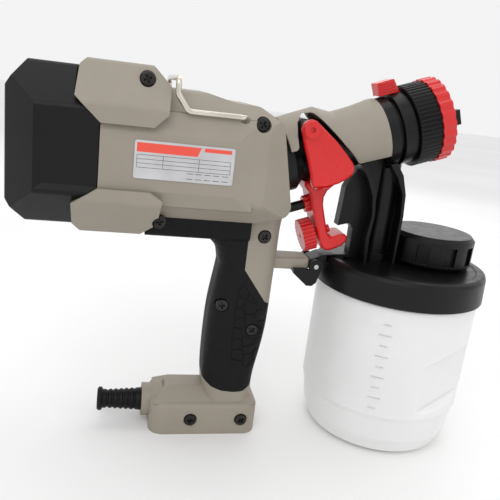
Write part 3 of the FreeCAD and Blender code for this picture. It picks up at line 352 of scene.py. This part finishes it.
# ------------------------------------------------------------------------------ print on the nameplate
def print_on_plate():
    """A red stripe and thin ruled lines, with no words, signs or pictures."""
    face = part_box("nameplate")[0][1] / MM

    def spot(u, v, h):
        return Vector((u, face - h, v))

    stripe = Piece()
    banner = ((-178.9, 180.8), (-147.5, 180.8), (-145.6, 185.6), (-178.9, 185.6))
    stripe.plate(spot, [Vector(p) for p in banner], 0.05, 0.02)
    stripe.plate(spot, rectangle(-144, 183.6, -129.5, 185.6), 0.05, 0.02)
    stripe.finish("nameplate_stripe", PRINT_RED, "motor_unit")
    rules = Piece()
    thin = 0.11
    for level in (179.4, 177.2, 175, 172.8):
        rules.plate(spot, rectangle(-178.6, level - thin, -129.6, level + thin), 0.04, 0.01)
    for across in (-178.6, -165.2, -146.4, -129.6):
        rules.plate(spot, rectangle(across - thin, 172.8, across + thin, 179.4), 0.04, 0.01)
    for i in range(5):
        left = -152.5 + 4.7 * i
        rules.plate(spot, rectangle(left, 168.6, left + 3.4, 168.9), 0.04, 0.01)
        rules.plate(spot, rectangle(left, 171.4, left + 3.4, 171.7), 0.04, 0.01)
    rules.finish("nameplate_rules", PRINT_BLACK, "motor_unit")


# ------------------------------------------------------------------------------ cells moulded on the grip
PANEL = [Vector(p) for p in ((-111.9, 48.7), (-108.4, 46.2), (-100, 45.2), (-95.8, 47.5), (-94, 56),
                             (-92.6, 70), (-92.1, 83), (-95.5, 88), (-99.5, 92.5), (-109.6, 103.6),
                             (-112.4, 98), (-112.7, 67))]

# the groove between two cells, the room about a screw, the smallest cell and how far a cell strays
GROOVE = 0.84
SCREW_ROOM = 5.4
LEAST_CELL = 4
SCATTER = 1.7


def kept(outline, point, normal):
    """What is left of a convex outline behind a line."""
    result = []
    for a, b in zip(outline, outline[1:] + outline[:1]):
        over_a = (a - point).dot(normal)
        over_b = (b - point).dot(normal)
        if over_a <= 0:
            result.append(a)
        if over_a * over_b < 0:
            result.append(a.lerp(b, over_a / (over_a - over_b)))
    return result


def cells():
    """Irregular cells that fill the panel, with grooves between them and room about the screw."""
    chance = random.Random(11)
    seeds = []
    for column in range(3):
        for row in range(8):
            x = -109.2 + 7.2 * column + chance.uniform(-SCATTER, SCATTER)
            z = 49 + 7.1 * row + 3.4 * (column % 2) + chance.uniform(-SCATTER, SCATTER)
            seeds.append(Vector((x, z)))
    found = []
    for seed in seeds:
        outline = rectangle(-130, 30, -80, 120)
        for a, b in zip(PANEL, PANEL[1:] + PANEL[:1]):
            along = (b - a).normalized()
            outline = kept(outline, a, Vector((along.y, -along.x)))
        for other in seeds:
            if other is not seed:
                outline = kept(outline, (seed + other) / 2, (other - seed).normalized())
        for x, z, _ in SCREWS:
            centre = Vector((x, z))
            away = (seed - centre).normalized()
            outline = kept(outline, centre + away * SCREW_ROOM, -away)
        if len(outline) > 2:
            outline = tidy(inset(tidy(outline), GROOVE / 2))
        if len(outline) > 2 and area(outline) > LEAST_CELL:
            found.append(outline)
    return found


def tidy(outline, least=0.5):
    """The outline without corners that lie close together."""
    return [point for i, point in enumerate(outline) if (point - outline[i - 1]).length > least]


def area(outline):
    return sum(a.x * b.y - b.x * a.y for a, b in zip(outline, outline[1:] + outline[:1])) / 2


def finer(outline, step=2.2):
    """The outline with extra points on its long sides."""
    points = []
    for a, b in zip(outline, outline[1:] + outline[:1]):
        count = max(1, round((b - a).length / step))
        points += [a.lerp(b, i / count) for i in range(count)]
    return points


def grip_cells():
    """The cells draped over the rubber of both grips."""
    shapes = cells()
    for label, side in (("right", -1), ("left", 1)):
        skin = surface("grip_" + label)
        piece = Piece()
        for shape in shapes:
            outline = finer(shape)
            middle = sum(outline, Vector((0, 0))) / len(outline)
            rings = []
            for share, height in ((1, -0.3), (1, 0.25), (0.93, 0.42), (0.6, 0.5), (0.25, 0.52)):
                ring = []
                for point in outline:
                    u, v = middle.lerp(point, share)
                    place, normal = skin.ray_cast(Vector((u, side * 60, v)) * MM, Vector((0, -side, 0)))[:2]
                    if place is None:
                        place, normal = skin.find_nearest(Vector((u, side * 17, v)) * MM)[:2]
                    ring.append(place / MM + normal * height)
                rings.append(ring)
            piece.rings(rings)
        piece.finish("grip_cells_" + label, RUBBER, "motor_unit")


# ------------------------------------------------------------------------------ trigger
CHEEK = [(-88.2, 199.6), (-87.3, 196.6), (-85.3, 190.5), (-82.5, 183.5), (-79.6, 175.5), (-78.1, 169.6),
         (-76.6, 167.2), (-69, 168.2), (-61.6, 171), (-56.4, 174.4), (-53.9, 177), (-53.2, 180),
         (-54.4, 183.4), (-60, 189), (-66, 194.6), (-72.5, 199.6), (-78.3, 203.9), (-80.2, 205.3),
         (-82.5, 205.8), (-85.3, 205), (-87.4, 203)]
BLADE = [(-77.4, 168.2), (-76.6, 165), (-72.8, 161), (-69.7, 151.2), (-62.8, 132.2), (-60.4, 127.4),
         (-57.3, 125.5), (-54.4, 125.8), (-50.6, 127.2), (-46.6, 129.6), (-44.1, 132.4), (-43.9, 135.2),
         (-45.8, 137), (-48.4, 137.1), (-51.6, 135.8), (-54.8, 134.8), (-57.2, 136.6), (-58.6, 140),
         (-61.2, 148), (-63.3, 155), (-63.5, 159.6), (-61.8, 163.8), (-58.6, 167), (-60, 170)]


def trigger():
    """Two cheeks, the band that joins them below the air tube, and the finger blade."""
    cheek_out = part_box("trigger")[1][1] / MM
    cheek_thick = 3.4
    piece = Piece()
    for side in (-1, 1):
        def spot(u, v, h):
            return Vector((u, side * (cheek_out - cheek_thick + h), v))

        piece.plate(spot, [Vector(p) for p in CHEEK], cheek_thick, 1.1, sunk=0)

    half = 9.4
    rim = 1.3
    outline = [Vector(p) for p in BLADE]
    tight = inset(outline, rim)
    levels = ((tight, -half), (outline, rim - half), (outline, half - rim), (tight, half))
    piece.rings([[Vector((p.x, y, p.y)) for p in shape] for shape, y in levels])

    # the band's path across the head, from one cheek round to the other
    bend = 8
    deep = -21
    wide = cheek_out - 0.3
    path = []
    for i in range(7):
        angle = math.pi / 2 * i / 6
        path.append((-wide + bend - bend * math.cos(angle), deep + bend - bend * math.sin(angle), angle))
    path += [(-y, n, math.pi - angle) for y, n, angle in reversed(path)]
    thick = 2.8
    rings = []
    rear = -67.6
    soft = 0.8
    inner = thick - 0.5
    for y, n, angle in path:
        out_y, out_n = -math.cos(angle), -math.sin(angle)
        front = -50.5 - 9.5 * abs(out_n) ** 2
        corners = ((rear, soft), (rear + soft, 0), (front - soft, 0), (front, soft), (front, inner),
                   (rear, inner))
        rings.append([along_head(s, y - out_y * depth, n - out_n * depth) for s, depth in corners])
    piece.rings(rings)
    obj = piece.finish("trigger_moulding", RED, "trigger")
    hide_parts("trigger")


# ---------------------------------------------------------------------- small marks on the head and the cup
def tab_ridges():
    """Ridges along both sides of the selector's thumb tab."""
    piece = Piece()
    for side in (-1, 1):
        def spot(u, v, h):
            return along_head(u, side * (4.5 + h), v)

        for n in (22.6, 24.2, 25.8, 27.4, 29):
            piece.plate(spot, rectangle(-13.9, n - 0.45, -4.2, n + 0.45), 0.45, 0.2)
    piece.finish("tab_ridges", RED, "selector")


def cap_holes():
    """Rims of the small air holes about the nozzle."""
    piece = Piece()
    for i in range(6):
        angle = math.pi / 3 * i + 0.5

        def spot(u, v, h):
            return along_head(24.6 + h, 10 * math.cos(angle) + u, 10 * math.sin(angle) + v)

        levels = ((1.5, -0.3), (1.5, 0.15), (1.2, 0.3), (0.9, 0.3), (0.8, -0.1))
        piece.rings([[spot(p.x, p.y, h) for p in circle(radius, 20)] for radius, h in levels])
    piece.finish("air_hole_rims", BLACK, "air_cap")


def cup_marks():
    """A column of level marks on the cup."""
    piece = Piece()
    radius = 53.2
    middle = math.radians(-118)
    half_line = 0.35
    for i in range(9):
        def spot(u, v, h):
            angle = middle + u / radius
            return Vector(((radius + h) * math.cos(angle), (radius + h) * math.sin(angle), v))

        z = 36 + 7 * i
        reach = 4 if i % 2 else 2.4
        piece.plate(spot, rectangle(-reach, z - half_line, reach, z + half_line), 0.35, 0.15)
    piece.finish("cup_marks", MILK, "cup")


screws()
print_on_plate()
grip_cells()
trigger()
tab_ridges()
cap_holes()
cup_marks()


# ------------------------------------------------------------------------------ floor, light and camera
def floor():
    mesh = bpy.data.meshes.new("floor")
    size = 6.0
    mesh.from_pydata([(-size, -size, 0), (size, -size, 0), (size, size, 0), (-size, size, 0)], [],
                     [(0, 1, 2, 3)])
    obj = bpy.data.objects.new("floor", mesh)
    bpy.context.scene.collection.objects.link(obj)
    nodes = Nodes("floor_white")
    nodes.put(nodes.shader, "Base Color",
              nodes.ramp(nodes.noise(3, 2), (0.86, 0.86, 0.86, 1), (0.9, 0.9, 0.9, 1)))
    nodes.put(nodes.shader, "Roughness", 0.8)
    mesh.materials.append(nodes.material)


def soft_light(name, place, aim, size, power):
    light = bpy.data.lights.new(name, "AREA")
    light.shape = "RECTANGLE"
    light.size, light.size_y = size
    light.energy = power
    obj = bpy.data.objects.new(name, light)
    obj.location = place
    obj.rotation_euler = (Vector(aim) - Vector(place)).to_track_quat("-Z", "Y").to_euler()
    bpy.context.scene.collection.objects.link(obj)


floor()
MIDDLE = (-0.09, 0, 0.12)
soft_light("key", (-0.5, -0.9, 1.1), MIDDLE, (0.9, 0.9), 4)
soft_light("fill", (0.9, -0.9, 0.5), MIDDLE, (0.8, 1.0), 0.9)
soft_light("top", (-0.1, 0.3, 1.3), MIDDLE, (1.2, 0.8), 2.6)
soft_light("back", (0.3, 1.0, 0.7), MIDDLE, (1.0, 0.8), 1.5)
world = bpy.data.worlds.new("studio")
world.use_nodes = True
sky = world.node_tree.nodes["Background"]
sky.inputs["Color"].default_value = (1, 1, 1, 1)
sky.inputs["Strength"].default_value = 0.9
bpy.context.scene.world = world
bpy.context.scene.view_settings.view_transform = "Standard"

camera = bpy.data.cameras.new("camera")
camera.lens = 41.73
camera.sensor_width = 36
eye = bpy.data.objects.new("camera", camera)
eye.location = (-0.18429, -0.34468, 0.21877)
eye.rotation_euler = Euler([math.radians(a) for a in (74.357, -6.779, -11.225)])
bpy.context.scene.collection.objects.link(eye)
bpy.context.scene.camera = eye
